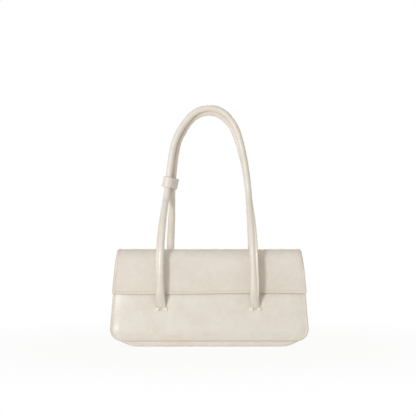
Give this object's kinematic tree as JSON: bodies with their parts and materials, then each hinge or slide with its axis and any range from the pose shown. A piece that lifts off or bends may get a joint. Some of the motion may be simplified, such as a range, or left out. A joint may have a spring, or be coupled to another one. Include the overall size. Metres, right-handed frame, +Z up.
{
  "type": "shoulder bag",
  "caption": "Slim flap-over shoulder bag in smooth leather, with rolled double handles, a sliding handle keeper and a hidden magnetic closure.",
  "frame": {"origin": "on the floor, below the centre of the bounding box", "axes": "+X to the right seen from the front, +Y to the back, +Z up; the flap and its free edge face -Y"},
  "size_m": [0.279, 0.1102, 0.3421],
  "materials": {
    "body_leather": "smooth, softly waxed",
    "flap_leather": "smooth, softly waxed",
    "handle_leather": "smooth, softly waxed",
    "lining": "plain weave cotton",
    "board": "bonded leatherboard",
    "steel": "nickel plated, pressed",
    "filler_cord": "twisted cotton cord"
  },
  "bodies": {
    "bag": {"front_panel": "body_leather", "front_board": "board", "front_facing": "body_leather", "front_lining": "lining", "front_anchor_patches": "board", "back_panel": "body_leather", "back_board": "board", "back_facing": "body_leather", "back_lining": "lining", "back_anchor_patches": "board", "gusset": "body_leather", "gusset_lining": "lining", "base_board": "board", "slip_pocket": "lining", "body_magnet": "steel", "body_magnet_washer": "steel", "front_handle": "handle_leather", "front_handle_core": "filler_cord", "back_handle": "handle_leather", "back_handle_core": "filler_cord", "flap_root": "flap_leather"},
    "flap_upper": {"flap_top": "flap_leather", "flap_top_lining": "lining"},
    "flap_lower": {"flap_front": "flap_leather", "flap_front_board": "board", "flap_front_lining": "lining", "flap_magnet": "steel", "flap_magnet_washer": "steel"},
    "keeper": {"keeper": "handle_leather"}
  },
  "joints": [
    {"name": "flap_lift", "type": "hinge", "parent": "bag", "child": "flap_upper", "pos_m": [0, 0.03075, 0.13295], "axis": [-1, 0, 0], "range_deg": [0, 68]},
    {"name": "flap_fold", "type": "hinge", "parent": "flap_upper", "child": "flap_lower", "pos_m": [0, -0.03575, 0.13095], "axis": [-1, 0, 0], "range_deg": [-37.4, 0]},
    {"name": "keeper_slide", "type": "slide", "parent": "bag", "child": "keeper", "axis": [0.1134, 0, 0.9936], "range_m": [0, 0.03]}
  ],
  "couplings": [
    {"joint": "flap_fold", "follows": "flap_lift", "ratio": -0.55}
  ]
}
